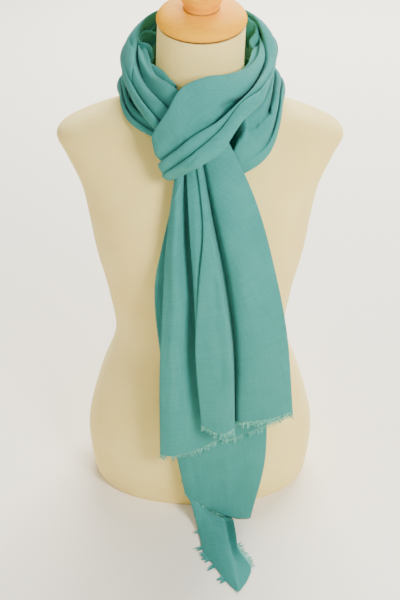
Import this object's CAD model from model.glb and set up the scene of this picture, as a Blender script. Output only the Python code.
"""The looks of a large wool scarf, tied with a slip knot round a limbless dress form.

The scarf is one cloth, folded in half.  Its visible stretches are thin shells on the form of the
solids, from the same kind of tables of stations and folds, with their creases laid on by hand.

Sizes are in millimetres, +X to the viewer's right, -Y towards the viewer, +Z up, with the origin
in the middle of the form's flat base.  They become metres where a mesh is written.
"""
from __future__ import annotations

import logging
import math
import random
from dataclasses import dataclass
from enum import Enum

import bmesh
import bpy
import numpy as np
from mathutils import Matrix, Vector, noise

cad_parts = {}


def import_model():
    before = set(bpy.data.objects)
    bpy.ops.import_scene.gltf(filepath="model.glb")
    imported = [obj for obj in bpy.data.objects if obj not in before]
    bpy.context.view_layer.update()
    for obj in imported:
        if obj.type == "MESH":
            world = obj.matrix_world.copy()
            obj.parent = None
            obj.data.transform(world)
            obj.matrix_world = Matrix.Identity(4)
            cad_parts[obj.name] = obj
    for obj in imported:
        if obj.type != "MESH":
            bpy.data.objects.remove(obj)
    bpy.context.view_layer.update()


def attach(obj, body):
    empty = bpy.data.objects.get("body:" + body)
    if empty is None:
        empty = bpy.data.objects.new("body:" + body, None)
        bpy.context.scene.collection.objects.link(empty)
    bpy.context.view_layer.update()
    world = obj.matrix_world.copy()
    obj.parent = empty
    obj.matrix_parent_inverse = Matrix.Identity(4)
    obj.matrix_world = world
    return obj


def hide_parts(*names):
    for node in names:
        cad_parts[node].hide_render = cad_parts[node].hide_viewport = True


LOG = logging.getLogger("scarf")
MM = 0.001
BODY = "root"
TINY = 1e-9  # keeps a division from being by zero
WELD = 0.01  # mm within which two points are one
WHITE = "#FFFFFF"
SHEEN = "#BFE6DC"  # what the wool's nap reflects at a low angle
WEAVE_MAP = "weave"  # UV map in metres along and across a cloth
TURNING_MAP = "turning"  # UV map of a turned piece: radius and height in metres
MIX_FACTOR, MIX_A, MIX_B, MIX_RESULT = 0, 6, 7, 2  # sockets of a Mix node that mixes colours

Pair = tuple[float, float]
Point = tuple[float, float, float]
Node = bpy.types.Node


class Slot(Enum):
    """Material slots of the record."""

    WOOL = "wool"
    JERSEY = "jersey"
    WOOD = "wood"


class Lift(Enum):
    """The way in which a crease's rise moves the cloth."""

    OUTWARDS = "outwards"
    FORWARDS = "forwards"


# ---------------- shader helpers


def linear(hex_colour: str) -> tuple[float, float, float, float]:
    """Turns an sRGB hex colour to linear RGBA.

    Args:
        hex_colour: six hex digits after a hash sign.

    Returns:
        Linear red, green, blue and an alpha of 1.
    """
    channels = [int(hex_colour[k:k + 2], 16) / 255 for k in (1, 3, 5)]
    red, green, blue = (c / 12.92 if c <= 0.04045 else ((c + 0.055) / 1.055) ** 2.4 for c in channels)
    return red, green, blue, 1.0


class Paint:
    """A material on a Principled shader, and the nodes that are added to it."""

    def __init__(self, name: str, values: dict) -> None:
        """Starts the material.

        Args:
            name: its name.
            values: socket name of its shader to the value there.
        """
        self.material = bpy.data.materials.new(name)
        self.material.use_nodes = True
        self.tree = self.material.node_tree
        self.shader = self.tree.nodes["Principled BSDF"]
        for socket, value in values.items():
            self.shader.inputs[socket].default_value = value
        self.place = self.add("TexCoord").outputs["Object"]

    def add(self, kind: str, values: dict | None = None, links: dict | None = None, **settings: object) -> Node:
        """Adds a node with its settings, its sockets' values and what is linked into them.

        Args:
            kind: the node's type, without the ShaderNode that it begins with.
            values: socket name or number to its value.
            links: socket name or number to the output that feeds it, or to a node for its first output.
            **settings: the node's own properties.

        Returns:
            The new node.
        """
        node = self.tree.nodes.new("ShaderNode" + kind)
        for name, value in settings.items():
            setattr(node, name, value)
        for socket, value in (values or {}).items():
            node.inputs[socket].default_value = value
        for socket, source in (links or {}).items():
            source = source.outputs[0] if isinstance(source, Node) else source
            self.tree.links.new(source, node.inputs[socket])
        return node

    def feed(self, socket: str, source: bpy.types.NodeSocket) -> None:
        """Links an output into one of the shader's sockets."""
        self.tree.links.new(source, self.shader.inputs[socket])

    def thread_waves(self, turns: Pair) -> tuple[Node, Node, Node]:
        """Draws waves along both ways of the threads.

        Args:
            turns: radians in a metre across and along the cloth.

        Returns:
            The cloth's UV map, the waves across it and the waves along it.
        """
        cloth = self.add("UVMap", uv_map=WEAVE_MAP)
        axes = self.add("SeparateXYZ", links={0: cloth})
        waves = []
        for axis, turn in zip("XY", turns):
            angle = self.add("Math", {1: turn}, {0: axes.outputs[axis]}, operation="MULTIPLY")
            waves.append(self.add("Math", links={0: angle}, operation="SINE"))
        return cloth, waves[0], waves[1]

    def show(self, tone: Node, spread: float, shades: tuple[str, ...], height: Node, strength: float,
             depth: float) -> Node:
        """Colours the shader in shades that follow a pattern, and gives it a fine relief.

        Args:
            tone: the pattern of the shades, whose values lie round 0.5.
            spread: how far from 0.5 the first and the last shade are.
            shades: hex colours, from where the pattern is low to where it is high.
            height: the pattern of the relief.
            strength: how much of the relief shows, from 0 to 1.
            depth: millimetres of it.

        Returns:
            The node of the shades.
        """
        ramp = self.add("ValToRGB", links={0: tone})
        stops = ramp.color_ramp.elements
        stops[0].position, stops[1].position = 0.5 - spread, 0.5 + spread
        stops[0].color, stops[1].color = linear(shades[0]), linear(shades[-1])
        for middle in shades[1:-1]:
            stops.new(0.5).color = linear(middle)
        bump = self.add("Bump", {"Strength": strength, "Distance": depth * MM}, {"Height": height})
        self.feed("Base Color", ramp.outputs[0])
        self.feed("Normal", bump.outputs[0])
        return ramp


# ---------------- finishes


@dataclass(frozen=True)
class WovenWool:
    """Fine worsted wool in a plain weave: matt and soft, with a nap that catches light at its edges."""

    colour: str = "#398A82"
    light: str = "#419289"
    deep: str = "#338279"
    thread: float = 1.1  # real threads are 0.5 mm apart, too fine to show, so drawn twice as wide
    slub_length: float = 45.0  # a slub is a thicker stretch of one yarn
    slub_width: float = 1.7
    mottle: float = 22.0  # slow patches of shade in a metre
    slub_relief: float = 0.9  # height of the slubs, where the threads' is 1

    def make(self) -> bpy.types.Material:
        """Builds the material on the cloth's own UV map.

        Returns:
            The material.
        """
        paint = Paint("worsted_wool", {
            "Roughness": 0.92,
            "Specular IOR Level": 0.2,
            "Sheen Weight": 0.2,
            "Sheen Roughness": 0.45,
            "Sheen Tint": linear(SHEEN),
        })
        turn = math.pi / (self.thread * MM)
        cloth, weft, warp = paint.thread_waves((turn, turn))
        weave = paint.add("Math", links={0: weft, 1: warp}, operation="MULTIPLY")
        across, along = 1 / self.slub_width / MM, 1 / self.slub_length / MM
        slubs = []
        for scale in ((across, along, 1.0), (along, across, 1.0)):
            yarns = paint.add("Mapping", {"Scale": scale}, {"Vector": cloth})
            slubs.append(paint.add("TexNoise", {"Scale": 1.0, "Detail": 2.0, "Roughness": 0.6},
                                   {"Vector": yarns}))
        both = paint.add("Math", links={0: slubs[0], 1: slubs[1]}, operation="ADD")
        mottle = paint.add("TexNoise", {"Scale": self.mottle, "Detail": 3.0}, {"Vector": paint.place})
        sum_of_three = paint.add("Math", links={0: mottle, 1: both}, operation="ADD")
        mean = paint.add("Math", {1: 3.0}, {0: sum_of_three}, operation="DIVIDE")
        height = paint.add("Math", {1: self.slub_relief}, {0: both, 2: weave}, operation="MULTIPLY_ADD")
        paint.show(mean, spread=0.14, shades=(self.deep, self.colour, self.light),
                   height=height, strength=0.35, depth=0.25)
        return paint.material


@dataclass(frozen=True)
class LooseYarn:
    """Single yarns that have worked loose at a cut edge: fluffier and paler than the cloth."""

    colour: str = "#7DC8B4"
    shade: str = "#45A392"
    mottle: float = 420.0  # pale and dark stretches of yarn in a metre

    def make(self) -> bpy.types.Material:
        """Builds the material on Object coordinates.

        Returns:
            The material.
        """
        paint = Paint("loose_yarn", {
            "Roughness": 0.95,
            "Specular IOR Level": 0.15,
            "Sheen Weight": 0.2,
            "Sheen Tint": linear(SHEEN),
            "Sheen Roughness": 0.4,
        })
        mottle = paint.add("TexNoise", {"Scale": self.mottle, "Detail": 2.0}, {"Vector": paint.place})
        paint.show(mottle, spread=0.1, shades=(self.shade, self.colour),
                   height=mottle, strength=0.3, depth=0.1)
        return paint.material


@dataclass(frozen=True)
class CottonJersey:
    """Cream cotton jersey, stretched smooth over a padded form: matt, with fine ribs of stitches."""

    colour: str = "#FFE88E"
    shade: str = "#FBDE80"
    stitch: float = 1.5  # real wales are 0.7 mm apart, drawn twice as wide
    rows: float = 1.4  # stitches along a wale in a stitch's width
    row_relief: float = 0.5  # height of the rows, where the wales' is 1
    mottle: float = 14.0

    def make(self) -> bpy.types.Material:
        """Builds the material on the form's own UV map.

        Returns:
            The material.
        """
        paint = Paint("cotton_jersey", {
            "Roughness": 0.85,
            "Specular IOR Level": 0.3,
            "Sheen Weight": 0.15,
            "Sheen Roughness": 0.5,
        })
        turn = math.tau / (self.stitch * MM)
        _, wales, rows = paint.thread_waves((turn, turn * self.rows))
        knit = paint.add("Math", {1: self.row_relief}, {0: rows, 2: wales}, operation="MULTIPLY_ADD")
        mottle = paint.add("TexNoise", {"Scale": self.mottle, "Detail": 4.0}, {"Vector": paint.place})
        paint.show(mottle, spread=0.15, shades=(self.shade, self.colour),
                   height=knit, strength=0.2, depth=0.2)
        return paint.material


@dataclass(frozen=True)
class VarnishedWood:
    """Turned beech under an amber varnish: its growth rings show through a smooth, satin coat."""

    name: str
    colour: str
    ring: str
    edge: str  # where the varnish gathers along the lower edge
    edge_height: float  # mm over the neck, up to which it is dark
    edge_blend: float = 0.8  # mm in which it turns light
    ring_width: float = 3.5
    grain_scale: Point = (0.12, 1.0, 0.55)  # long from side to side, short from front to back
    grain_turn: Point = (0.3, 0.05, 0.12)

    def make(self) -> bpy.types.Material:
        """Builds the material on Object coordinates, with its edge on the turned piece's UV map.

        Returns:
            The material.
        """
        paint = Paint(self.name, {
            "Roughness": 0.5,
            "IOR": 1.5,
            "Specular IOR Level": 0.06,
        })
        grain = paint.add("Mapping", {"Scale": self.grain_scale, "Rotation": self.grain_turn},
                          {"Vector": paint.place})
        rings = paint.add("TexNoise", {"Scale": 1 / (self.ring_width * MM), "Detail": 4.0, "Roughness": 0.55},
                          {"Vector": grain})
        shades = paint.show(rings, spread=0.12, shades=(self.ring, self.colour),
                            height=rings, strength=0.08, depth=0.1)
        turning = paint.add("UVMap", uv_map=TURNING_MAP)
        axes = paint.add("SeparateXYZ", links={0: turning})
        above = paint.add("MapRange", {
            "From Min": (self.edge_height - self.edge_blend) * MM,
            "From Max": self.edge_height * MM,
        }, {"Value": axes.outputs["Y"]})
        edged = paint.add("Mix", {MIX_A: linear(self.edge)}, {MIX_FACTOR: above, MIX_B: shades},
                          data_type="RGBA")
        paint.feed("Base Color", edged.outputs[MIX_RESULT])
        return paint.material


@dataclass(frozen=True)
class MattPaper:
    """A white paper sweep under and behind the form: matt, with the faintest unevenness."""

    colour: str = "#FFF7E4"
    fibres: float = 60.0  # clumps of fibre in a metre

    def make(self) -> bpy.types.Material:
        """Builds the floor's material.

        Returns:
            The material.
        """
        paint = Paint("paper_sweep", {
            "Base Color": linear(self.colour),
            "Roughness": 0.95,
            "Specular IOR Level": 0.2,
        })
        fibres = paint.add("TexNoise", {"Scale": self.fibres, "Detail": 3.0}, {"Vector": paint.place})
        bump = paint.add("Bump", {"Strength": 0.05, "Distance": 0.5 * MM}, {"Height": fibres})
        paint.feed("Normal", bump.outputs[0])
        return paint.material


# ---------------- curves through the tables


def spline_weights(count: int, shares: np.ndarray) -> np.ndarray:
    """Weights of each table row for points on the Catmull-Rom curve through them.

    Args:
        count: how many rows the table has.
        shares: places along the curve, from 0 to 1.

    Returns:
        One row of weights for each place.
    """
    place = np.clip(shares, 0.0, 1.0) * (count - 1)
    index = np.minimum(place.astype(int), count - 2)
    s = place - index
    parts = 0.5 * np.array([
        -s + 2 * s**2 - s**3,
        2 - 5 * s**2 + 3 * s**3,
        s + 4 * s**2 - 3 * s**3,
        -(s**2) + s**3,
    ])
    weights = np.zeros((len(shares), count))
    rows = np.arange(len(shares))
    for offset, part in zip((-1, 0, 1, 2), parts):
        target = index + offset
        before, after = target < 0, target > count - 1
        inside = ~(before | after)
        weights[rows[inside], target[inside]] += part[inside]
        # Past an end the table goes on straight: twice the last row less the one before it.
        for past, end, neighbour in ((before, 0, 1), (after, count - 1, count - 2)):
            weights[rows[past], end] += 2 * part[past]
            weights[rows[past], neighbour] -= part[past]
    return weights


def smooth_table(table: tuple, steps: int) -> np.ndarray:
    """Points on the curve through a table's rows.

    Args:
        table: rows of numbers.
        steps: how many steps each gap between two rows is cut into.

    Returns:
        The finer rows.
    """
    rows = np.array(table)
    return spline_weights(len(rows), np.linspace(0.0, 1.0, (len(rows) - 1) * steps + 1)) @ rows


def eased(share: float | np.ndarray) -> float | np.ndarray:
    """A share from 0 to 1 that starts and ends softly."""
    return share * share * (3 - 2 * share)


def value_at(grid: np.ndarray, i: float, j: float) -> np.ndarray:
    """The values at a place between the rows and columns of a grid.

    Args:
        grid: rows x columns x values.
        i: the place's row, with a fraction.
        j: its column, with a fraction.

    Returns:
        The values there.
    """
    i0, j0 = min(int(i), grid.shape[0] - 2), min(int(j), grid.shape[1] - 2)
    weight = np.outer((1 - i + i0, i - i0), (1 - j + j0, j - j0))
    return (grid[i0:i0 + 2, j0:j0 + 2] * weight[..., None]).sum(axis=(0, 1))


def lengths_along(points: np.ndarray, axis: int) -> np.ndarray:
    """Running length of a grid of points along one of its two axes.

    Args:
        points: rows x columns x 3.
        axis: 0 for the length along the columns, 1 for the length along the rows.

    Returns:
        The length from the grid's edge to each point, in the points' unit.
    """
    steps = np.linalg.norm(np.diff(points, axis=axis), axis=2)
    start = np.zeros_like(np.take(steps, [0], axis=axis))
    return np.concatenate([start, np.cumsum(steps, axis=axis)], axis=axis)


def grid_normals(points: np.ndarray) -> np.ndarray:
    """Unit normals of a grid of points.

    Args:
        points: rows along the cloth x columns across it x 3.

    Returns:
        One normal for each point.
    """
    along, across = np.gradient(points, axis=0), np.gradient(points, axis=1)
    normals = np.cross(across, along)
    return normals / np.maximum(np.linalg.norm(normals, axis=2, keepdims=True), TINY)


@dataclass(frozen=True)
class Crease:
    """A soft ridge or trough, laid on the cloth through a few places.

    A place is (station, fold): the number of the station or level along the cloth and the number
    of the fold across it, counted from 0, with fractions in between.
    """

    path: tuple[Pair, ...]
    rise: float
    width: float  # mm from its line to where it has nearly ended
    fade: float = 0.25  # share of its length in which it rises at each end
    steepness: float = 2.0  # of its sides: a high one gives a flat floor between steep walls
    taper: float = 1.6  # exp(-taper ** steepness) is what is left of the rise at its width

    def relief(self, along: np.ndarray, across: np.ndarray, rows: int, columns: int) -> np.ndarray:
        """How far the crease moves each point of the cloth.

        Args:
            along: millimetres along the cloth at each grid point.
            across: millimetres across the cloth at each grid point.
            rows: how many stations the table has.
            columns: how many folds the table has.

        Returns:
            Millimetres at each grid point.
        """
        cloth = np.stack([along, across], axis=-1)
        last_row, last_column = along.shape[0] - 1, along.shape[1] - 1
        spots = np.array([
            value_at(cloth, station / (rows - 1) * last_row, fold / (columns - 1) * last_column)
            for station, fold in self.path
        ])
        steps = np.linalg.norm(np.diff(spots, axis=0), axis=1)
        starts = np.concatenate([[0.0], np.cumsum(steps)])
        nearest = np.full(along.shape, np.inf)
        reached = np.zeros(along.shape)
        for k, step in enumerate(steps):
            way = (spots[k + 1] - spots[k]) / max(step, TINY)
            dv, du = along - spots[k][0], across - spots[k][1]
            t = np.clip(dv * way[0] + du * way[1], 0.0, step)
            distance = np.hypot(dv - t * way[0], du - t * way[1])
            closer = distance < nearest
            nearest = np.where(closer, distance, nearest)
            reached = np.where(closer, starts[k] + t, reached)
        share = reached / starts[-1]
        ends = eased(np.clip(np.minimum(share, 1 - share) / self.fade, 0.0, 1.0))
        return self.rise * ends * np.exp(-((nearest / self.width * self.taper) ** self.steepness))


@dataclass
class Cloth:
    """One stretch of the scarf, as a fine grid through its sections."""

    name: str
    sections: np.ndarray  # stations x folds x 3, in millimetres
    replaces: tuple[str, ...]
    held: str
    flat: Pair  # the cut of this stretch, in metres: width, length
    creases: tuple[Crease, ...] = ()
    lift: Lift = Lift.OUTWARDS
    hang: tuple[Pair, ...] = ()  # height to y, for a tail that hangs in front
    across_steps: int = 8
    rows: int = 200
    thickness: float = 0.8
    crimp: float = 0.35  # mm of unevenness in the cloth's fall
    waves: Pair = (38.0, 15.0)  # mm of that unevenness's waves, along and across
    ripples: Pair = (2.3, 0.5)  # how much finer its second waves are, and how high
    seed: int = 1
    seed_step: float = 7.3  # how far apart two seeds lie in the noise

    def hung(self, points: np.ndarray) -> np.ndarray:
        """Moves points back or forth to where the tail hangs at their height.

        Args:
            points: the grid, whose y is only how far a fold stands out.

        Returns:
            The moved grid.
        """
        if not self.hang:
            return points
        heights, depths = np.array(self.hang, dtype=float).T
        places = np.interp(-points[..., 2], -heights, np.arange(len(heights)))
        weights = spline_weights(len(heights), places.ravel() / (len(heights) - 1))
        moved = points.copy()
        moved[..., 1] += (weights @ depths).reshape(places.shape)
        return moved

    def points(self) -> tuple[np.ndarray, np.ndarray, np.ndarray]:
        """Works out the grid of the cloth's middle surface.

        Returns:
            Its points, and the millimetres along and across the cloth at each.
        """
        stations, folds = self.sections.shape[:2]
        columns = (folds - 1) * self.across_steps
        along_weights = spline_weights(stations, np.linspace(0.0, 1.0, self.rows + 1))
        across_weights = spline_weights(folds, np.linspace(0.0, 1.0, columns + 1))
        points = self.hung(np.einsum("is,jf,sfk->ijk", along_weights, across_weights, self.sections))
        along, across = lengths_along(points, 0), lengths_along(points, 1)
        relief = np.zeros(along.shape)
        for crease in self.creases:
            relief += crease.relief(along, across, stations, folds)
        relief += self.unevenness(along, across)
        if self.lift is Lift.FORWARDS:
            points[..., 1] -= relief
        else:
            points += grid_normals(points) * relief[..., None]
        return points, along, across

    def unevenness(self, along: np.ndarray, across: np.ndarray) -> np.ndarray:
        """Slight waves of a cloth that was never ironed flat, longer along it than across.

        Args:
            along: millimetres along the cloth at each grid point.
            across: millimetres across the cloth at each grid point.

        Returns:
            Millimetres at each grid point.
        """
        relief = np.zeros(along.shape)
        (long, short), (finer, share) = self.waves, self.ripples
        for index in np.ndindex(along.shape):
            spot = Vector((along[index] / long, across[index] / short, self.seed * self.seed_step))
            relief[index] = noise.noise(spot) + share * noise.noise(spot * finer)
        return relief * self.crimp

    def build(self, material: bpy.types.Material) -> bpy.types.Object:
        """Builds the stretch as a closed thin wall.

        Args:
            material: the cloth's finish.

        Returns:
            The finished piece.
        """
        points, along, across = self.points()
        rows, columns = points.shape[0] - 1, points.shape[1] - 1
        half = 0.5  # the grid is made one unit wide, and then moved to its points
        shape = bmesh.new()
        bmesh.ops.create_grid(shape, x_segments=columns, y_segments=rows, size=half)
        places = {}
        for vertex in shape.verts:
            place = round((vertex.co.y + half) * rows), round((vertex.co.x + half) * columns)
            places[vertex] = place
            vertex.co = points[place] * MM
        weave = shape.loops.layers.uv.new(WEAVE_MAP)
        for loop in (corner for face in shape.faces for corner in face.loops):
            place = places[loop.vert]
            loop[weave].uv = (across[place] * MM, along[place] * MM)
        piece = add_piece(self.name, shape, material)
        wall = piece.modifiers.new("wall", "SOLIDIFY")
        wall.thickness = self.thickness * MM
        wall.offset = 0.0
        if self.replaces:
            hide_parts(*self.replaces)
        return piece


def put(name: str, data: bpy.types.ID) -> bpy.types.Object:
    """Puts an object in the scene.

    Args:
        name: its name.
        data: its mesh, curve, light or camera.

    Returns:
        The object.
    """
    made = bpy.data.objects.new(name, data)
    bpy.context.scene.collection.objects.link(made)
    return made


def put_shape(name: str, shape: bmesh.types.BMesh, material: bpy.types.Material) -> bpy.types.Object:
    """Puts a finished bmesh in the scene.

    Args:
        name: the object's name.
        shape: its mesh, in metres, which is freed.
        material: its finish.

    Returns:
        The object.
    """
    mesh = bpy.data.meshes.new(name)
    shape.to_mesh(mesh)
    shape.free()
    mesh.materials.append(material)
    return put(name, mesh)


def add_piece(
    name: str, shape: bmesh.types.BMesh, material: bpy.types.Material
) -> bpy.types.Object:
    """Makes a finished bmesh a smooth piece of the object.

    Args:
        name: the piece's name.
        shape: its mesh, in metres, which is freed.
        material: its finish.

    Returns:
        The piece, riding on the body.
    """
    piece = put_shape(name, shape, material)
    piece.data.shade_smooth()
    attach(piece, BODY)
    return piece


# ---------------- the scarf's bands


@dataclass(frozen=True)
class BandTable:
    """The course of a band round the neck, and its folds at a few named places."""

    stations: tuple[tuple, ...]  # name, x, y, z of the upper edge, x, y, z of the lower edge
    places: tuple[str, ...]
    folds: tuple[tuple, ...]  # name, then (share across, mm outwards) at each place

    def sections(self) -> np.ndarray:
        """Works out the band's folds where it passes each station.

        Returns:
            Stations x folds x 3.
        """
        names = [row[0] for row in self.stations]
        found = [names.index(place) for place in self.places]
        edges = np.array([row[1:] for row in self.stations], dtype=float)
        uppers, lowers = edges[:, :3], edges[:, 3:]
        middles = (uppers + lowers) / 2
        last = len(names) - 1
        rows = []
        for k in range(last + 1):
            along = middles[min(k + 1, last)] - middles[max(k - 1, 0)]
            across = lowers[k] - uppers[k]
            out = np.cross(across, along)
            out /= np.linalg.norm(out)
            row = []
            for fold in self.folds:
                share, rise = self.fold_at(fold[1:], found, k)
                row.append(uppers[k] + across * share + out * rise)
            rows.append(row)
        return np.array(rows)

    @staticmethod
    def fold_at(pairs: tuple[Pair, ...], found: list[int], station: int) -> Pair:
        """A fold at a station, eased between the places that the table gives.

        Args:
            pairs: the fold's share and rise at each of those places.
            found: the station of each place.
            station: the station asked for.

        Returns:
            The fold's share and rise there.
        """
        for k in range(len(found) - 1):
            if station <= found[k + 1]:
                step = eased((station - found[k]) / (found[k + 1] - found[k]))
                (share, rise), (next_share, next_rise) = pairs[k], pairs[k + 1]
                return share + (next_share - share) * step, rise + (next_rise - rise) * step
        return pairs[-1]


UPPER_BAND = BandTable(
    stations=(
        ("behind knot", -34, -80, 562, -22, -87, 532),
        ("wrap", -57, -99, 576, -35, -107, 526),
        ("over knot", -38, -104, 612, -12, -127, 546),
        ("throat front", -21, -92, 636, 3, -130, 556),
        ("front", 8, -79, 647, 27, -124, 572),
        ("front right", 34, -61, 645, 50, -104, 599),
        ("right front", 60, -34, 644, 75, -67, 614),
        ("right", 74, 2, 652, 89, -6, 630),
        ("right behind", 62, 48, 684, 89, 51, 642),
        ("nape", 0, 76, 706, 0, 99, 630),
        ("left behind", -62, 46, 682, -90, 47, 634),
        ("left", -74, 4, 654, -95, -2, 620),
        ("left front", -60, -38, 640, -80, -48, 603),
        ("throat left", -32, -78, 632, -58, -87, 588),
        ("in knot", 14, -96, 602, -30, -100, 562),
    ),
    places=("behind knot", "wrap", "throat front", "front right", "right", "right behind", "nape",
            "left behind", "left", "throat left", "in knot"),
    folds=(
        ("inner edge", (0.75, -2), (0.75, -2.6), (0.6, -5), (0.75, -12), (1.25, -15), (1.15, -5), (0.75, -14),
         (1.15, -4), (1.1, -17), (0.5, -5.5), (0.42, -1.8)),
        ("inner layer", (0.55, -2), (0.55, -2.6), (0.45, -4.8), (0.3, -11), (0.3, -14), (1, -4.5), (0.3, -12.5),
         (1, -3.5), (0.35, -15.5), (0.35, -5.2), (0.32, -1.8)),
        ("inner fold", (0.35, -2), (0.35, -2.6), (0.3, -4.6), (0.2, -6), (0.1, -12), (0.82, -4), (0.12, -10.5),
         (0.85, -3), (0.12, -13), (0.22, -5), (0.22, -1.8)),
        ("inner rise", (0.15, -1.6), (0.15, -2.2), (0.15, -4), (0.05, -4.5), (-0.15, -8), (0.64, -3.5), (0, -8),
         (0.7, -2), (-0.02, -9), (0.1, -4.2), (0.1, -1.4)),
        ("inner valley", (0, 0), (0, 0), (0, -1), (0.04, -2.5), (0.15, -5), (0.46, -3.5), (0.16, -6.5),
         (0.54, -2), (0.12, -7), (0, -1), (0, 0.6)),
        ("top edge", (0.15, 1.5), (0.15, 2.5), (0.16, 2.5), (0.1, 2), (-0.02, 0), (0.37, -8.5), (0, -2),
         (0.44, -9), (0.1, -3), (0.18, 1.5), (0.18, 2.2)),
        ("wide panel", (0.36, 2.2), (0.36, 4), (0.44, 3), (0.5, 4.5), (0.24, 2.5), (0.34, -7.5), (0.14, 2),
         (0.41, -8), (0.16, -1.5), (0.56, -6), (0.48, -0.2)),
        ("first valley", (0.54, 0.6), (0.64, -1), (0.78, -8), (0.65, -22), (0.54, -8), (0.4, -3), (0.32, -2),
         (0.46, -3), (0.42, -9), (0.44, 1.6), (0.44, 2.8)),
        ("first fold", (0.57, 2.8), (0.56, 5.5), (0.62, 4.5), (0.64, 3), (0.42, 4), (0.06, 1), (0.28, 5),
         (0.04, 1), (0.28, 3.5), (0.6, 3.5), (0.6, 4)),
        ("first ridge", (0.66, 3.6), (0.64, 7), (0.72, 7.5), (0.67, 5), (0.62, 7.5), (0.24, 6), (0.42, 7.5),
         (0.22, 6), (0.46, 7.5), (0.74, 1.8), (0.72, 2.5)),
        ("second valley", (0.77, 1.2), (0.8, 5.5), (0.92, -5), (0.73, -2), (0.78, 7.8), (0.45, 8), (0.56, 2.5),
         (0.44, 8), (0.64, 7), (0.88, -5), (0.79, 0.8)),
        ("second fold", (0.79, 3), (0.81, 7), (0.8, 7.5), (0.7, 6.5), (0.84, 7.6), (0.56, 8.2), (0.56, 6),
         (0.55, 8.2), (0.68, 7), (0.77, 4.4), (0.79, 4.2)),
        ("second ridge", (0.88, 3), (0.87, 7), (0.9, 10), (0.86, 10), (0.95, 6.5), (0.82, 7.5), (0.76, 8),
         (0.8, 7.5), (0.84, 6.5), (0.86, 6.5), (0.86, 5.2)),
        ("lower edge", (1, 0.5), (1, 1.5), (1, 3), (1, 2.5), (1.08, 0), (1.04, 0), (1, 1), (1, 1), (1, 0.5),
         (1, 1), (1, 1.2)),
        ("turned under", (0.86, -1.8), (0.87, -2.2), (0.88, -3.5), (0.9, -4.5), (0.95, -6), (0.9, -6.5),
         (0.85, -7), (0.85, -6.8), (0.85, -6.5), (0.88, -3.5), (0.88, -1.8)),
    ),
)

UPPER_CREASES = (
    # (station, fold) places, mm of rise, mm of width, and where given the fade and the steepness
    Crease(((11.2, 7.6), (11.6, 9), (12, 10.4)), -3.5, 3),
    Crease(((9.3, 10.8), (10.2, 11.2), (11, 11.6)), -1.4, 5),
    Crease(((4.1, 6.9), (4.5, 6.95), (5, 6.95), (5.5, 6.9)), -18, 8, 0.35, 3),
    Crease(((4.3, 6.45), (4.7, 6.35), (5, 6.3), (5.4, 6.4)), -8, 8, 0.45),
    Crease(((1.5, 5.9), (2.2, 6.3), (2.7, 6.8)), -0.8, 7),
    Crease(((1.9, 11.7), (2.4, 11.9), (2.9, 11.9)), -1.3, 2.8),
    Crease(((1.1, 12.1), (1.9, 12.5), (2.6, 12.6)), -0.8, 3.4),
    Crease(((3.4, 12.1), (4.2, 12.4), (5, 12.2)), -0.9, 3.5),
    Crease(((5.4, 11.9), (6.1, 11.8), (6.9, 11.9)), -1.3, 2.8),
    Crease(((7, 10), (7.8, 10.4), (8.7, 10.2)), -1.6, 5),
)

LOWER_BAND = BandTable(
    stations=(
        ("behind knot", -32.4, -79.6, 562.7, -20.4, -86.6, 532.7),
        ("knot back", 8, -74, 592, 14, -90, 524),
        ("front right", 42, -74, 602, 46, -95, 526),
        ("right front", 67, -54, 600, 85, -77, 548),
        ("right", 84, -12, 613, 102, -25, 588),
        ("right behind", 77, 37, 631, 98, 42, 598),
        ("nape", 0, 71, 644, 0, 86, 606),
        ("left behind", -76, 37, 631, -97, 42, 598),
        ("left", -84, -6, 608, -100, -8, 592),
        ("left front", -70, -42, 598, -88, -52, 580),
        ("throat left", -44, -70, 594, -60, -80, 572),
        ("in knot", -4, -85, 590, -28, -91, 567),
    ),
    places=("behind knot", "knot back", "front right", "right", "nape", "left", "in knot"),
    folds=(
        ("inner edge", (0.6, -1.5), (0.12, -4.5), (0.1, -4.5), (-0.45, -12), (-0.66, -3.5), (-0.52, -10),
         (0.02, -3.8)),
        ("inner layer", (0.15, -1.5), (0.04, -3), (0.04, -3), (0.12, -9), (0.14, -8), (0.12, -9), (0.14, -1.9)),
        ("top edge", (0, 0), (0, -2), (0, 0), (0, 0), (0, 0), (0, 0), (0, 0)),
        ("first ridge", (0.18, 1.2), (0.18, -1), (0.15, 6), (0.14, 5), (0.18, 4), (0.18, 3), (0.15, 1.2)),
        ("first valley", (0.35, 1.4), (0.34, -0.5), (0.28, 9), (0.46, -5), (0.42, -2.5), (0.5, -4.5),
         (0.34, -1)),
        ("first fold", (0.48, 1.6), (0.48, 0), (0.4, 11), (0.38, 4.2), (0.38, 4), (0.4, 3.2), (0.38, 2.6)),
        ("wide panel", (0.62, 1.6), (0.62, 0), (0.6, 11), (0.54, 6.5), (0.55, 5.5), (0.56, 4.5), (0.6, 2.4)),
        ("second valley", (0.74, 1.4), (0.74, 0), (0.74, 8.5), (0.82, -4), (0.78, -1.5), (0.84, -3.5),
         (0.8, -0.8)),
        ("second fold", (0.86, 1.2), (0.86, 0.5), (0.87, 6.5), (0.74, 5.5), (0.77, 5), (0.76, 4.5),
         (0.82, 2.2)),
        ("lower edge", (1, 0), (1, 0), (1, 0), (1, 0.5), (1, 0), (1, 0), (1, 0)),
        ("turned under", (0.8, -1.5), (0.8, -1.5), (0.8, -3), (0.8, -7.5), (0.75, -7), (0.8, -7), (0.8, -1.5)),
    ),
)

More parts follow.
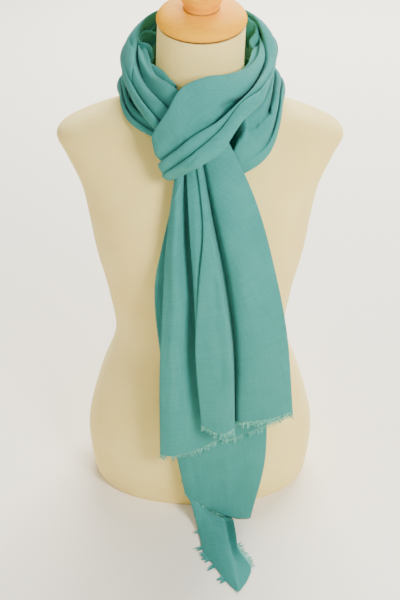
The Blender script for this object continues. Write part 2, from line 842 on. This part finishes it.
LOWER_CREASES = (
    Crease(((1.92, 1.9), (1.87, 3), (1.75, 4.1), (1.55, 5.2), (1.38, 6.2)), -24, 17, 0.2, 6),
    Crease(((2.3, 2.6), (2.28, 4), (2.12, 5.4)), 4, 4),
    Crease(((3.3, 4.3), (3.12, 4.3), (2.95, 4.25), (2.7, 4.3)), 3.6, 5.5),
    Crease(((3.62, 4.1), (3.42, 4.55), (3.26, 5.2)), -5, 3.6, 0.3),
)


@dataclass(frozen=True)
class Tuck:
    """A narrow fold of the band's inner side, which stands beside the neck."""

    name: str
    hand: float  # 1 where its outer side is on the left of its rim's course, -1 on the right
    rim: tuple[tuple[float, float, float, float], ...]  # x, y, z of its crest, mm to its outer foot
    drop: float = 36.0  # mm from its crest down to its inner foot
    foot: float = -0.3  # how far inwards that foot is, as in the profile
    profile: tuple[Pair, ...] = (
        # share of the reach (or mm inwards, where less than 0), mm up
        (1.0, -20.0), (0.8, -9.5), (0.42, -2.5), (0.12, 0.8), (-0.5, 0.7), (-1.5, -1.5), (-0.8, -10.0),
    )

    def sections(self) -> np.ndarray:
        """Works out the fold's profile at each point of its rim.

        Returns:
            Points of the rim x points of the profile x 3.
        """
        places = np.array(self.rim)
        course = np.gradient(places[:, :2], axis=0)
        rows = []
        for (x, y, z, reach), (dx, dy) in zip(self.rim, course):
            away = Vector((dy, -dx, 0.0)).normalized() * self.hand
            row = []
            for out, up in (*self.profile, (self.foot, -self.drop)):
                out = out * reach if out > 0 else out
                row.append((x + away.x * out, y + away.y * out, z + up))
            rows.append(row)
        return np.array(rows)


TUCKS = (
    Tuck("scarf_tuck_left", 1, rim=(
        (-54.6, 48, 657.1, 4), (-63.2, 44, 661.5, 4), (-71.7, 38, 662.6, 5), (-77.1, 30, 658.7, 6),
        (-76.9, 23, 654.5, 6), (-71.1, 19, 653.9, 7), (-63.4, 14, 652.9, 10), (-59.6, 8, 647.9, 13),
        (-59.4, 1, 641.3, 15), (-63, -7, 635.1, 15), (-68.9, -14, 631.1, 13), (-74.8, -22, 627.5, 12),
        (-77, -32, 619.6, 12),
    )),
    Tuck("scarf_tuck_right", -1, drop=50, rim=(
        (55.6, 54, 680.8, 5), (63, 47, 675.2, 6), (70.4, 41, 670.6, 8), (69.6, 33, 662.9, 9),
        (63.2, 25, 655.2, 12), (66.2, 18, 649.8, 13), (73.4, 11, 645.6, 9), (72.6, 3, 640.6, 9),
        (62.9, -7, 638.2, 12), (56.4, -16, 635.5, 12),
    )),
    Tuck("scarf_tuck_throat", 1, rim=(
        (-64.2, -8, 634.1, 10), (-58.8, -16, 638.1, 10), (-52.3, -28, 638.3, 9), (-44.7, -38, 636.7, 8),
        (-38.4, -48, 632.7, 7), (-28.7, -58, 626.3, 6),
    )),
)


# ---------------- the scarf's tails


@dataclass(frozen=True)
class TailTable:
    """The folds of a tail at a few levels, from its top in the knot to its hem."""

    top: Pair  # height of the left and of the right end of its top
    hang: tuple[Pair, ...]  # height, y
    levels: tuple[float, ...]  # share of the way down to the hem
    folds: tuple[tuple, ...]  # name, x at each level, mm forwards at each level, hem height

    def sections(self) -> np.ndarray:
        """Works out the tail's folds at each level, their y being only how far they stand out.

        Returns:
            Levels x folds x 3.
        """
        tops = [row[1] for row in self.folds]
        count = len(self.levels)
        rows = []
        for k, share in enumerate(self.levels):
            row = []
            for fold in self.folds:
                side = (fold[1] - min(tops)) / (max(tops) - min(tops))
                high = self.top[0] + (self.top[1] - self.top[0]) * side
                row.append((fold[1 + k], -fold[1 + count + k], high + (fold[-1] - high) * share))
            rows.append(row)
        return np.array(rows)


FRONT_TAIL = TailTable(
    top=(547, 590),
    hang=((600, -93), (560, -96.5), (520, -105.5), (450, -127), (380, -137), (300, -141), (130, -142)),
    levels=(0, 0.22, 0.42, 0.68, 1),
    folds=(
        # name, x and then mm forwards at the knot, the chest, the middle, the waist and the hem, hem height
        ("left selvedge", -28, -41, -47, -53, -55, 2, 5, 6, 6, 6, 131),
        ("left panel", -24, -30, -29, -33, -37, 5, 14.5, 14.5, 12.5, 10, 131),
        ("left valley", -16, -17, -11.5, -9.5, -2, 0, -1, -1, 0, 1, 136),
        ("back left", -10, -6, 2, 12, 24, 0, -0.5, -0.5, 0, 0, 150),
        ("back middle", 2, 16, 27, 39, 50, 0, -0.5, 0, 0, 1, 157),
        ("back right", 14, 44, 64, 80, 90, 0, 0.5, 1, 1.5, 3, 180),
        ("right fold", 24, 66, 90, 111, 124, 1.5, 5, 6.5, 7.5, 8, 206),
        ("right panel", 15, 40, 56, 74, 92, 4.5, 16, 18, 18, 16, 200),
        ("right inner", 2.5, 22, 38.5, 51, 54, 4, 13, 14.5, 14.5, 12.5, 192),
        ("deep valley", -1, 15, 30.5, 43.5, 47.5, 0.8, -1, -2, -2.5, 0.5, 186),
        ("middle fold", -3, 12.5, 26.5, 40, 45, 5.5, 17.5, 20, 20, 16, 183),
        ("middle right", -4.5, 9, 19, 28, 26, 7.6, 20.5, 23, 23, 19, 177),
        ("inner fold", -6.5, 4, -0.5, -4.5, 3, 7.2, 20, 21.5, 20.5, 16, 189),
        ("inner tuck", -3, 8, 4, 1, 7, 5, 15, 16, 17, 14, 187),
        ("middle left", -11, -4.5, -4, -3, 4.5, 4.6, 17, 17.5, 17, 14, 189),
        ("middle selvedge", -17.5, -13, -8, -4, 2, 3, 13.5, 14, 14, 12, 192),
    ),
)

BACK_TAIL = TailTable(
    top=(540, 580),
    hang=((600, -88), (560, -91), (520, -98), (450, -119), (380, -124.5), (260, -126), (0, -131)),
    levels=(0, 0.2, 0.34, 0.56, 0.8, 1),
    folds=(
        # name, x and then mm forwards at the knot, chest, bulge, waist, low part and hem, hem height
        ("inner selvedge", -6, -10, -12, -14, -6, 2, 0, 0, 0, 0, 0, 0, 60),
        ("left back", -14, -32, -42, -38, -29, -16, 0, 0, 0, 0, 0, 0, 54),
        ("left fold", -22, -47, -57.5, -50, -37, -22, 1.7, 2.2, 3, 4.5, 4.5, 4.5, 50),
        ("left panel", -15, -34, -38, -30, -22, -11, 3.4, 4.4, 6, 8, 8, 8.5, 40),
        ("middle", -4, -4, 2, 8, 10, 14, 3.4, 4.4, 6, 8.5, 8.5, 9, 21),
        ("right panel", 8, 24, 36, 48, 48, 44, 3.4, 4.4, 6, 8.5, 9.5, 11, 7),
        ("right fold", 18, 44, 62, 84, 91.5, 73, 1.7, 2.2, 3.5, 5, 6, 9, 4),
        ("right back", 10, 30, 46, 62, 62, 58, 0, 0, 0, 0, 0.5, 1.5, 14),
        ("back selvedge", 2, 8, 18, 30, 31, 32, 0, 0, 0, 0, 0, 0.5, 30),
    ),
)

FRONT_CREASES = (
    Crease(((0.5, 0.25), (0.36, 0.9), (0.22, 1.7)), 3, 4.5),
    Crease(((0.12, 1.9), (0.45, 1.75), (0.9, 1.6)), -3, 4),
    Crease(((0.9, 0.7), (1.8, 0.75), (2.9, 0.6)), 1.6, 7),
    Crease(((2.2, 1.2), (2.9, 1.3), (3.7, 1.2)), -2.2, 9),
    Crease(((0.5, 6.4), (1.4, 6.55), (2.4, 6.5)), -1.6, 9),
    Crease(((1.3, 7.1), (2.2, 7.2), (3.3, 7.15)), 1.4, 9),
    Crease(((2.6, 6.4), (3.3, 6.5), (3.9, 6.45)), -1.2, 8),
    Crease(((1.6, 11), (2.6, 11.2), (3.6, 11.1)), -1.3, 6),
)

BACK_CREASES = (
    Crease(((3.2, 2.8), (4, 3.2), (4.9, 3.4)), -1.4, 9),
    Crease(((3.4, 4.6), (4.2, 4.7), (4.9, 4.9)), 1.2, 10),
)

# The end of the back tail, which falls from its left corner and lies forward on the table.
TAIL_END = (
    # name, left edge, left panel, ridge, valley, right edge
    ("behind", (-27, -132.6, 72), (-13, -133, 60), (14, -132.6, 36), (26, -132.4, 32), (40, -132.4, 28)),
    ("hem", (-20.8, -136, 48.6), (-9, -139, 37.4), (18, -135, 13), (30, -134, 9), (44, -134.4, 5)),
    ("under", (-13.5, -139.5, 33), (4, -144, 21), (27, -145, 11), (33, -142, 3), (47, -142, 4)),
    ("fall", (-7, -150, 12), (14, -156, 18), (32.5, -157, 17), (37, -151, 2), (48.5, -152, 9.5)),
    ("floor", (0, -178, 2.6), (17, -183, 12), (36, -184, 16), (40.5, -181, 1.8), (51.5, -181, 9)),
    ("middle", (4, -202, 2), (22, -208, 11), (40, -212, 14), (45, -209, 2), (54, -204, 7)),
    ("wide", (18, -228, 1.8), (32, -232, 9), (45, -236, 12), (52.5, -236, 3), (69.5, -234, 4)),
    ("narrow", (34, -256, 1.6), (41.5, -259, 6), (49, -261, 8), (54, -260, 3), (65, -255, 2.2)),
    ("tip", (47, -273, 1.5), (49, -276, 2.2), (51, -277.5, 3.2), (53, -276, 2.2), (55, -272.5, 1.5)),
)


@dataclass
class Frays:
    """Loose threads along an edge of the cloth, in uneven clumps."""

    name: str
    replaces: str
    cloth: Cloth
    edge: tuple[Pair, Pair]  # where the edge starts and ends, as (along, across) shares
    way: Point  # the way that the threads point
    longest: float
    shortest: float
    seed: int
    pitch: float = 0.5
    thread: float = 0.5
    bare: float = 0.08  # share of the edge without threads
    in_shade: bool = False  # as dark as the cloth itself
    clump: tuple[int, int] = (2, 7)  # fewest and most threads that lean the same way
    clump_lean: Pair = (0.35, 0.25)
    clump_share: Pair = (0.45, 1.0)  # of the longest length
    thread_lean: Pair = (0.12, 0.12)
    thread_share: Pair = (0.6, 1.0)  # of its clump's length
    thread_bend: Pair = (0.3, 0.3)
    knots: tuple[float, ...] = (-0.12, 0.3, 0.7, 1.0)  # shares of a thread's length, from inside its hem
    tip: float = 0.5  # share of its thickness that a thread loses to its tip
    steps: int = 200  # in which the edge is measured

    def root_points(self, grid: np.ndarray) -> list[Vector]:
        """Finds where the threads leave the edge, a thread's pitch apart.

        Args:
            grid: the cloth's points.

        Returns:
            The threads' roots.
        """
        start, end = np.array(self.edge)
        size = np.array(grid.shape[:2]) - 1
        line = []
        for k in range(self.steps + 1):
            i, j = (start + (end - start) * k / self.steps) * size
            line.append(Vector(value_at(grid, i, j)))
        roots, travelled = [line[0]], 0.0
        for a, b in zip(line, line[1:]):
            travelled += (b - a).length
            if travelled >= self.pitch:
                roots.append(b)
                travelled = 0.0
        return roots

    @staticmethod
    def sway(chance: random.Random, most: Pair) -> Vector:
        """A level vector of chance, up to so much each way."""
        return Vector((chance.uniform(-most[0], most[0]), chance.uniform(-most[1], most[1]), 0.0))

    def tubes(self) -> bpy.types.Object:
        """Draws the threads as bent lines with a thickness.

        Returns:
            The curve's object, which isn't a piece yet.
        """
        chance = random.Random(self.seed)
        down = Vector(self.way).normalized()
        curve = bpy.data.curves.new(self.name, "CURVE")
        curve.dimensions = "3D"
        curve.bevel_depth = self.thread * MM
        curve.bevel_resolution = 0
        curve.use_fill_caps = True
        curve.resolution_u = 3
        left, lean_of_all, share_of_all, none_here = 0, Vector(), 1.0, False
        for root in self.root_points(self.cloth.points()[0]):
            if left == 0:
                left = chance.randint(*self.clump)
                lean_of_all = self.sway(chance, self.clump_lean)
                share_of_all = chance.uniform(*self.clump_share)
                none_here = chance.random() < self.bare
            left -= 1
            if none_here:
                continue
            reach = (self.longest - self.shortest) * share_of_all
            length = self.shortest + reach * chance.uniform(*self.thread_share)
            lean = lean_of_all + self.sway(chance, self.thread_lean)
            bend = self.sway(chance, self.thread_bend) * length
            spline = curve.splines.new("NURBS")
            spline.points.add(len(self.knots) - 1)
            spline.use_endpoint_u = True
            spline.order_u = 3
            for point, share in zip(spline.points, self.knots):
                spot = root + (down + lean * share) * length * share + bend * share * (1 - share)
                point.co = (*(spot * MM), 1.0)
                point.radius = 1.0 - self.tip * max(share, 0.0)
        tubes = put(self.name + "_tubes", curve)
        bpy.context.view_layer.update()
        return tubes

    def build(self, material: bpy.types.Material) -> bpy.types.Object:
        """Builds the threads as thin bent tubes, joined as one mesh.

        Args:
            material: the cloth's finish.

        Returns:
            The finished piece.
        """
        tubes = self.tubes()
        mesh = bpy.data.meshes.new_from_object(tubes.evaluated_get(bpy.context.evaluated_depsgraph_get()))
        bpy.data.objects.remove(tubes, do_unlink=True)
        shape = bmesh.new()
        shape.from_mesh(mesh)
        bpy.data.meshes.remove(mesh)
        weave = shape.loops.layers.uv.verify()
        for loop in (corner for face in shape.faces for corner in face.loops):
            loop[weave].uv = (loop.vert.co.x, loop.vert.co.z)
        bmesh.ops.recalc_face_normals(shape, faces=shape.faces)
        piece = add_piece(self.name, shape, material)
        piece.data.uv_layers[0].name = WEAVE_MAP
        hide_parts(self.replaces)
        return piece


@dataclass
class Scarf:
    """The scarf's stretches and its frayed ends."""

    wool: WovenWool = WovenWool()
    yarn: LooseYarn = LooseYarn()

    def stretches(self) -> tuple[Cloth, ...]:
        """Lists the stretches of the one cloth.

        Returns:
            The band over the tails and round the neck, the band under it, the shorter tail in
            pleats, the longer tail behind it, and that tail's corner on the table.
        """
        return (
            Cloth("scarf_upper_band", UPPER_BAND.sections(),
                  ("upper_knot_front", "upper_nape", "upper_left_strand"), "draped", flat=(0.15, 0.69),
                  creases=UPPER_CREASES, rows=320, seed=2),
            Cloth("scarf_lower_band", LOWER_BAND.sections(),
                  ("lower_knot_back", "lower_nape", "lower_left_strand"), "draped", flat=(0.09, 0.61),
                  creases=LOWER_CREASES, rows=260, seed=3),
            Cloth("scarf_front_tail", FRONT_TAIL.sections(), ("front_tail",), "hung", flat=(0.27, 0.41),
                  creases=FRONT_CREASES, lift=Lift.FORWARDS, hang=FRONT_TAIL.hang, rows=200, seed=4),
            Cloth("scarf_back_tail", BACK_TAIL.sections(), ("back_tail",), "hung", flat=(0.19, 0.54),
                  creases=BACK_CREASES, lift=Lift.FORWARDS, hang=BACK_TAIL.hang, rows=220, seed=5),
            Cloth("scarf_tail_end", np.array([row[1:] for row in TAIL_END]), ("tail_end",), "laid",
                  flat=(0.058, 0.157), across_steps=12, rows=120, crimp=0.25, seed=6),
        )

    def tucks(self) -> list[Cloth]:
        """Lists the small folds on the band's inner side, beside the neck.

        Returns:
            One narrow cloth for each.
        """
        return [
            Cloth(tuck.name, tuck.sections(), (), "draped", flat=(0.04, 0.13), across_steps=6, rows=90,
                  seed=seed)
            for seed, tuck in enumerate(TUCKS, start=30)
        ]

    def frays(self, front: Cloth, back: Cloth, end: Cloth) -> tuple[Frays, ...]:
        """Lists the frayed edges.

        Args:
            front: the shorter tail.
            back: the longer tail.
            end: the corner on the table.

        Returns:
            One row of threads for each edge.
        """
        down, right, left = (0.0, 0.0, -1.0), (0.85, 0.5, 0.1), (-0.9, -0.5, 0.05)
        return (
            # name, stands for, cloth, edge, way, longest and shortest thread in mm, seed
            Frays("frays_back_layer", "fringe_back_layer", front, ((1.0, 0.0), (1.0, 0.40)), down,
                  12.5, 3.0, 21),
            Frays("frays_right_panel", "fringe_right_panel", front, ((1.0, 0.41), (1.0, 0.60)), down,
                  12.5, 3.0, 22),
            Frays("frays_middle_panel", "fringe_middle_panel", front, ((1.0, 0.66), (1.0, 1.0)), down,
                  12.0, 3.5, 23),
            Frays("frays_back_tail", "fringe_back_tail", back, ((1.0, 0.25), (1.0, 0.62)), down,
                  7.0, 2.0, 24),
            Frays("frays_end_right", "fringe_end_right", end, ((0.58, 1.0), (0.76, 1.0)), right,
                  9.0, 3.0, 25),
            Frays("frays_end_left", "fringe_end_left", end, ((0.45, 0.0), (0.9, 0.0)), left,
                  12.0, 4.0, 26, thread=0.7, bare=0.5, in_shade=True),
        )

    def build(self) -> list[bpy.types.Object]:
        """Builds every stretch and declares each as a sheet of cloth.

        Returns:
            The scarf's pieces.
        """
        wool = self.wool.make()
        stretches = self.stretches()
        upper, _, front, back, end = stretches
        tucks = [tuck.build(wool) for tuck in self.tucks()]
        yarn = self.yarn.make()
        frays = [(fray, fray.build(wool if fray.in_shade else yarn)) for fray in self.frays(front, back, end)]
        made = []
        for cloth in stretches:
            piece = cloth.build(wool)
            with_pieces = [threads for fray, threads in frays if fray.cloth is cloth]
            if cloth is upper:
                with_pieces += tucks
            made += [piece, *with_pieces]
        return made


# ---------------- the form


@dataclass
class DressForm:
    """A limbless bust of padded jersey, with a turned cap and knob on its slanted neck."""

    sides: int = 72
    squareness: float = 2.3  # of its sections: 2 is an ellipse, and more is squarer
    neck_radius: float = 54.0
    neck_x: float = 2.0
    neck_top: float = 687.0
    neck_tilt: float = math.radians(13.0)
    girth: float = math.tau * 100.0  # mm round it, for the scale of its jersey
    steps: int = 5
    sections: tuple[tuple[float, float, float, float], ...] = (
        # height, half width, half depth in front, half depth behind
        (0, 158, 108, 112), (12, 163, 113, 115), (45, 167, 116, 121), (95, 167, 116, 123),
        (170, 147, 104, 108), (245, 121, 92, 86), (320, 128, 98, 84), (385, 141, 113, 90),
        (430, 147, 116, 94), (480, 156, 101, 97), (520, 173, 84, 95), (548, 184, 70, 88),
        (566, 158, 61, 78), (582, 112, 56, 68), (596, 74, 54, 61), (612, 58, 54, 56),
        (640, 54.5, 54, 54.5),
    )
    cap_profile: tuple[Pair, ...] = (
        # radius, height over the neck
        (0, 19), (16, 18.8), (32, 17.6), (44, 15.2), (51, 11.8), (54.7, 7.4), (55.4, 4.4), (54.9, 2.2),
        (54, 0.5),
    )
    knob_profile: tuple[Pair, ...] = (
        (0, 66), (12, 64.5), (20.5, 60), (25.5, 52.5), (27, 44.5), (26.4, 36.5), (24.6, 29.5),
        (22.6, 25), (22, 22), (22.4, 19.4),
    )
    jersey: CottonJersey = CottonJersey()
    # name, colour, its growth rings, its lower edge, mm over the neck up to which that edge is dark
    cap_wood: VarnishedWood = VarnishedWood("varnished_beech_cap", "#FFB60E", "#FBAA08", "#7E5228", 3.4)
    knob_wood: VarnishedWood = VarnishedWood("varnished_beech_knob", "#FCB016", "#F3A00E", "#B87A30", 21.5)

    def rings(self) -> np.ndarray:
        """Works out every ring of the bust, from its base to the slanted top of its neck.

        A section is a squared ellipse, deeper or shallower in front than behind.

        Returns:
            Rings x sides x 3.
        """
        angles = math.tau * np.arange(self.sides) / self.sides
        cosine, sine = np.cos(angles), np.sin(angles)
        wide, deep = (np.copysign(np.abs(wave) ** (2 / self.squareness), wave) for wave in (cosine, sine))
        found = []
        for height, width, front, back in smooth_table(self.sections, self.steps):
            depth = np.where(sine < 0, front, back)
            found.append(np.stack([width * wide, depth * deep, np.full(self.sides, height)], axis=1))
        lower = found[-1]
        x, y = self.neck_radius * cosine, self.neck_radius * sine
        top = np.stack([self.neck_x + x, y, self.neck_top + y * math.tan(self.neck_tilt)], axis=1)
        for share in (k / self.steps for k in range(1, self.steps + 1)):
            found.append(lower * (1 - share) + top * share)
        return np.array(found)

    def bust(self) -> bpy.types.Object:
        """Builds the padded bust by growing one ring out of the last.

        Returns:
            The finished piece.
        """
        rings = self.rings()
        shape = bmesh.new()
        fresh = bmesh.ops.create_circle(shape, cap_ends=True, radius=1.0, segments=self.sides)["verts"]
        edges = shape.edges[:]
        places = {}
        for row in range(len(rings)):
            if row > 0:
                grown = bmesh.ops.extrude_edge_only(shape, edges=edges)["geom"]
                edges = [item for item in grown if isinstance(item, bmesh.types.BMEdge)]
                fresh = [item for item in grown if isinstance(item, bmesh.types.BMVert)]
            for vertex in fresh:
                k = round(math.atan2(vertex.co.y, vertex.co.x) / math.tau * self.sides) % self.sides
                places[vertex] = (row, k)
        bmesh.ops.contextual_create(shape, geom=edges)
        for vertex, place in places.items():
            vertex.co = Vector(rings[place]) * MM
        weave = shape.loops.layers.uv.new(WEAVE_MAP)
        for face in shape.faces:
            last = max(places[vertex][1] for vertex in face.verts)
            for loop in face.loops:
                k = places[loop.vert][1]
                k += self.sides if last - k > self.sides / 2 else 0
                loop[weave].uv = (k / self.sides * self.girth * MM, loop.vert.co.z)
        bmesh.ops.recalc_face_normals(shape, faces=shape.faces)
        for edge in shape.edges:
            edge.smooth = all(len(face.verts) <= 4 for face in edge.link_faces)
        piece = add_piece("bust", shape, self.jersey.make())
        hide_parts("form_bust")
        return piece

    def turned(self, name: str, profile: tuple[Pair, ...], node: str, wood: VarnishedWood) -> bpy.types.Object:
        """Builds a turned piece by spinning its profile on the neck's slanted axis.

        Args:
            name: the piece's name.
            profile: radius and height, from the middle of its top to the foot of its side.
            node: the CAD node that it stands for.
            wood: its finish.

        Returns:
            The finished piece.
        """
        fine = smooth_table(profile, self.steps)
        fine[0, 0] = 0.0
        outline = [*fine, (0.0, fine[-1, 1])]
        shape = bmesh.new()
        verts = [shape.verts.new((abs(radius) * MM, 0.0, height * MM)) for radius, height in outline]
        edges = [shape.edges.new(pair) for pair in zip(verts, verts[1:])]
        bmesh.ops.spin(shape, geom=[*verts, *edges], cent=(0, 0, 0), axis=(0, 0, 1), angle=math.tau,
                       steps=self.sides, use_merge=True)
        bmesh.ops.remove_doubles(shape, verts=shape.verts, dist=WELD * MM)
        bmesh.ops.recalc_face_normals(shape, faces=shape.faces)
        turning = shape.loops.layers.uv.new(TURNING_MAP)
        for loop in (corner for face in shape.faces for corner in face.loops):
            loop[turning].uv = (math.hypot(loop.vert.co.x, loop.vert.co.y), loop.vert.co.z)
        seat = Matrix.Translation((self.neck_x * MM, 0.0, self.neck_top * MM))
        seat @= Matrix.Rotation(self.neck_tilt, 4, "X")
        bmesh.ops.transform(shape, matrix=seat, verts=shape.verts)
        piece = add_piece(name, shape, wood.make())
        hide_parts(node)
        return piece

    def build(self) -> list[bpy.types.Object]:
        """Builds the bust, its cap and its knob.

        Returns:
            The form's pieces.
        """
        return [
            self.bust(),
            self.turned("turned_cap", self.cap_profile, "neck_cap", self.cap_wood),
            self.turned("turned_knob", self.knob_profile, "neck_knob", self.knob_wood),
        ]


# ---------------- the studio


@dataclass
class Studio:
    """A white paper floor, soft lights and the camera at the photograph's angle.  It is in metres."""

    camera_at: Point = (0.0, -1.210, 1.037)
    camera_down: float = 31.7  # degrees below the horizon
    lens: float = 60.0  # mm
    sensor: float = 36.0  # mm
    floor_size: float = 6.0
    paper: MattPaper = MattPaper()
    lit_spot: Point = (0.0, -0.05, 0.45)
    room_light: float = 0.17
    lamps: tuple[tuple, ...] = (
        # name, x, y, z, size in metres, watts, colour
        ("key", 0.75, -1.1, 1.15, 0.5, 32.0, WHITE),
        ("top", 0.2, -0.3, 2.4, 1.2, 5.0, WHITE),
        ("back", 0.6, 2.4, 2.4, 3.0, 390.0, WHITE),
        ("side", -1.6, -0.8, 1.6, 1.5, 20.0, "#FFFAF0"),
    )

    def build(self) -> None:
        """Builds the floor, the lights and the camera."""
        shape = bmesh.new()
        bmesh.ops.create_grid(shape, x_segments=1, y_segments=1, size=self.floor_size / 2)
        floor = put_shape("floor", shape, self.paper.make())
        world = bpy.data.worlds.new("white_room")
        world.use_nodes = True
        background = world.node_tree.nodes["Background"]
        background.inputs["Color"].default_value = linear(WHITE)
        background.inputs["Strength"].default_value = self.room_light
        bpy.context.scene.world = world
        for name, x, y, z, size, watts, colour in self.lamps:
            lamp = bpy.data.lights.new(name, "AREA")
            lamp.size = size
            lamp.energy = watts
            lamp.color = linear(colour)[:3]
            holder = put(name, lamp)
            holder.location = (x, y, z)
            beam = Vector(self.lit_spot) - holder.location
            holder.rotation_euler = beam.to_track_quat("-Z", "Y").to_euler()
        camera = bpy.data.cameras.new("camera")
        camera.lens = self.lens
        camera.sensor_width = self.sensor
        seen_from = put("camera", camera)
        seen_from.location = self.camera_at
        seen_from.rotation_euler = (math.radians(90.0 - self.camera_down), 0.0, 0.0)
        bpy.context.scene.camera = seen_from


def main() -> None:
    """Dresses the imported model."""
    logging.basicConfig(level=logging.INFO, format="%(name)s: %(message)s")
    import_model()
    for assembly in (DressForm(), Scarf()):
        for piece in assembly.build():
            LOG.info("%s: %d faces", piece.name, len(piece.data.polygons))
    Studio().build()
    bpy.context.view_layer.update()


if __name__ == "__main__":
    main()
